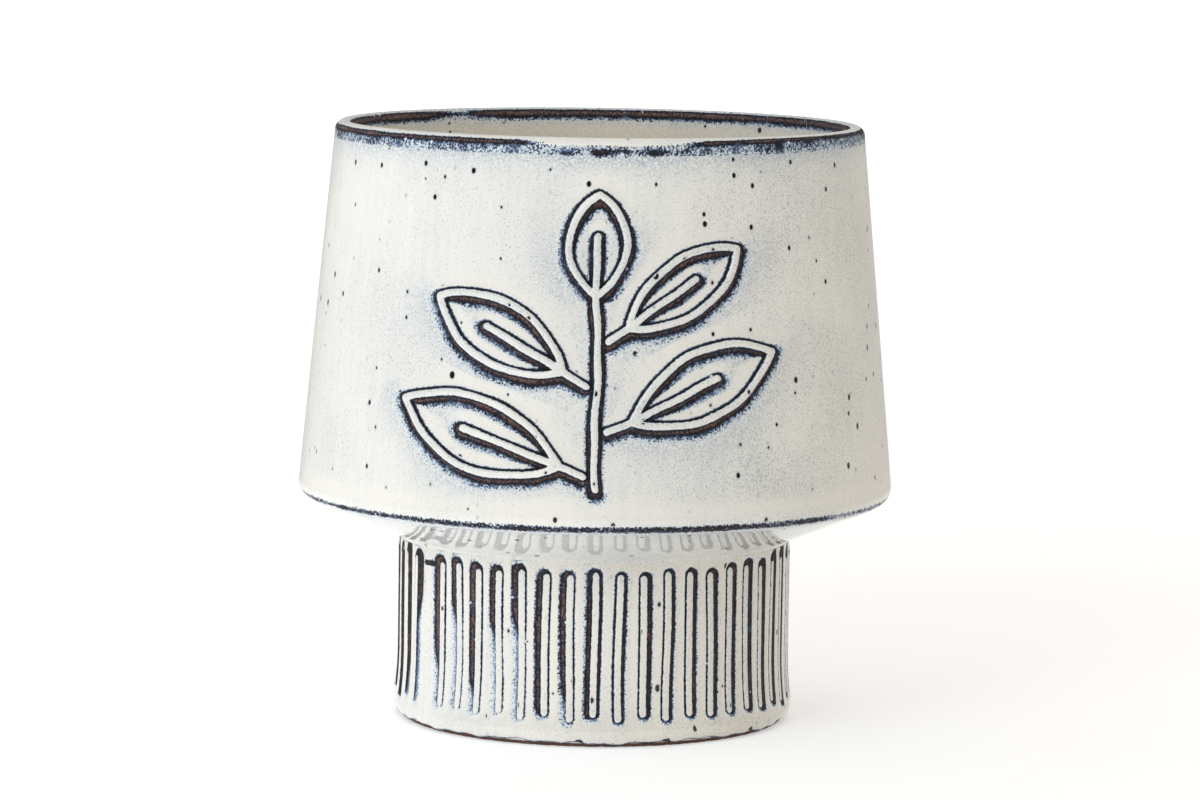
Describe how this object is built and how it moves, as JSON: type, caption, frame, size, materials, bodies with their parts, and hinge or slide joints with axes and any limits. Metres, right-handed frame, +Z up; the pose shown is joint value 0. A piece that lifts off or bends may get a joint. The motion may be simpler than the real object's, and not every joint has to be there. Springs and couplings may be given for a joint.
{
  "type": "flower pot",
  "caption": "Glazed stoneware flower pot: a tapered drum with a raised leaf sprig on a narrower foot ringed with upright ribs, open at the top to hold a plant.",
  "frame": {"origin": "centre of the base, on the surface that the pot stands on", "axes": "+Z up along the pot's axis; the decorated front faces -Y"},
  "size_m": [0.156, 0.1568, 0.1565],
  "materials": {
    "cream_glaze": "glossy cream reactive glaze that breaks to brown clay with a blue fringe at edges",
    "bare_clay": "unglazed dark brown stoneware, matt and slightly gritty"
  },
  "bodies": {
    "root": {"drum_wall": "cream_glaze", "shoulder_dish": "cream_glaze", "foot_collar": "cream_glaze", "floor_disc": "cream_glaze", "sprig_stem": "cream_glaze", "leaf_left_low": "cream_glaze", "leaf_right_low": "cream_glaze", "leaf_left_high": "cream_glaze", "leaf_right_high": "cream_glaze", "foot_rib_01": "cream_glaze", "foot_rib_02": "cream_glaze", "foot_rib_03": "cream_glaze", "foot_rib_04": "cream_glaze", "foot_rib_05": "cream_glaze", "foot_rib_06": "cream_glaze", "foot_rib_07": "cream_glaze", "foot_rib_08": "cream_glaze", "foot_rib_09": "cream_glaze", "foot_rib_10": "cream_glaze", "foot_rib_11": "cream_glaze", "foot_rib_12": "cream_glaze", "foot_rib_13": "cream_glaze", "foot_rib_14": "cream_glaze", "foot_rib_15": "cream_glaze", "foot_rib_16": "cream_glaze", "foot_rib_17": "cream_glaze", "foot_rib_18": "cream_glaze", "foot_rib_19": "cream_glaze", "foot_rib_20": "cream_glaze", "foot_rib_21": "cream_glaze", "foot_rib_22": "cream_glaze", "foot_rib_23": "cream_glaze", "foot_rib_24": "cream_glaze", "foot_rib_25": "cream_glaze", "foot_rib_26": "cream_glaze", "foot_rib_27": "cream_glaze", "foot_rib_28": "cream_glaze", "foot_rib_29": "cream_glaze", "foot_rib_30": "cream_glaze", "foot_rib_31": "cream_glaze", "foot_rib_32": "cream_glaze", "foot_rib_33": "cream_glaze", "foot_rib_34": "cream_glaze", "foot_rib_35": "cream_glaze", "foot_rib_36": "cream_glaze", "foot_rib_37": "cream_glaze", "foot_rib_38": "cream_glaze", "foot_rib_39": "cream_glaze", "foot_rib_40": "cream_glaze", "foot_rib_41": "cream_glaze", "foot_rib_42": "cream_glaze", "foot_rib_43": "cream_glaze", "foot_rib_44": "cream_glaze", "foot_rib_45": "cream_glaze", "foot_rib_46": "cream_glaze", "foot_rib_47": "cream_glaze", "foot_rib_48": "cream_glaze", "foot_rib_49": "cream_glaze", "foot_rib_50": "cream_glaze", "standing_ring": "bare_clay"}
  },
  "joints": []
}
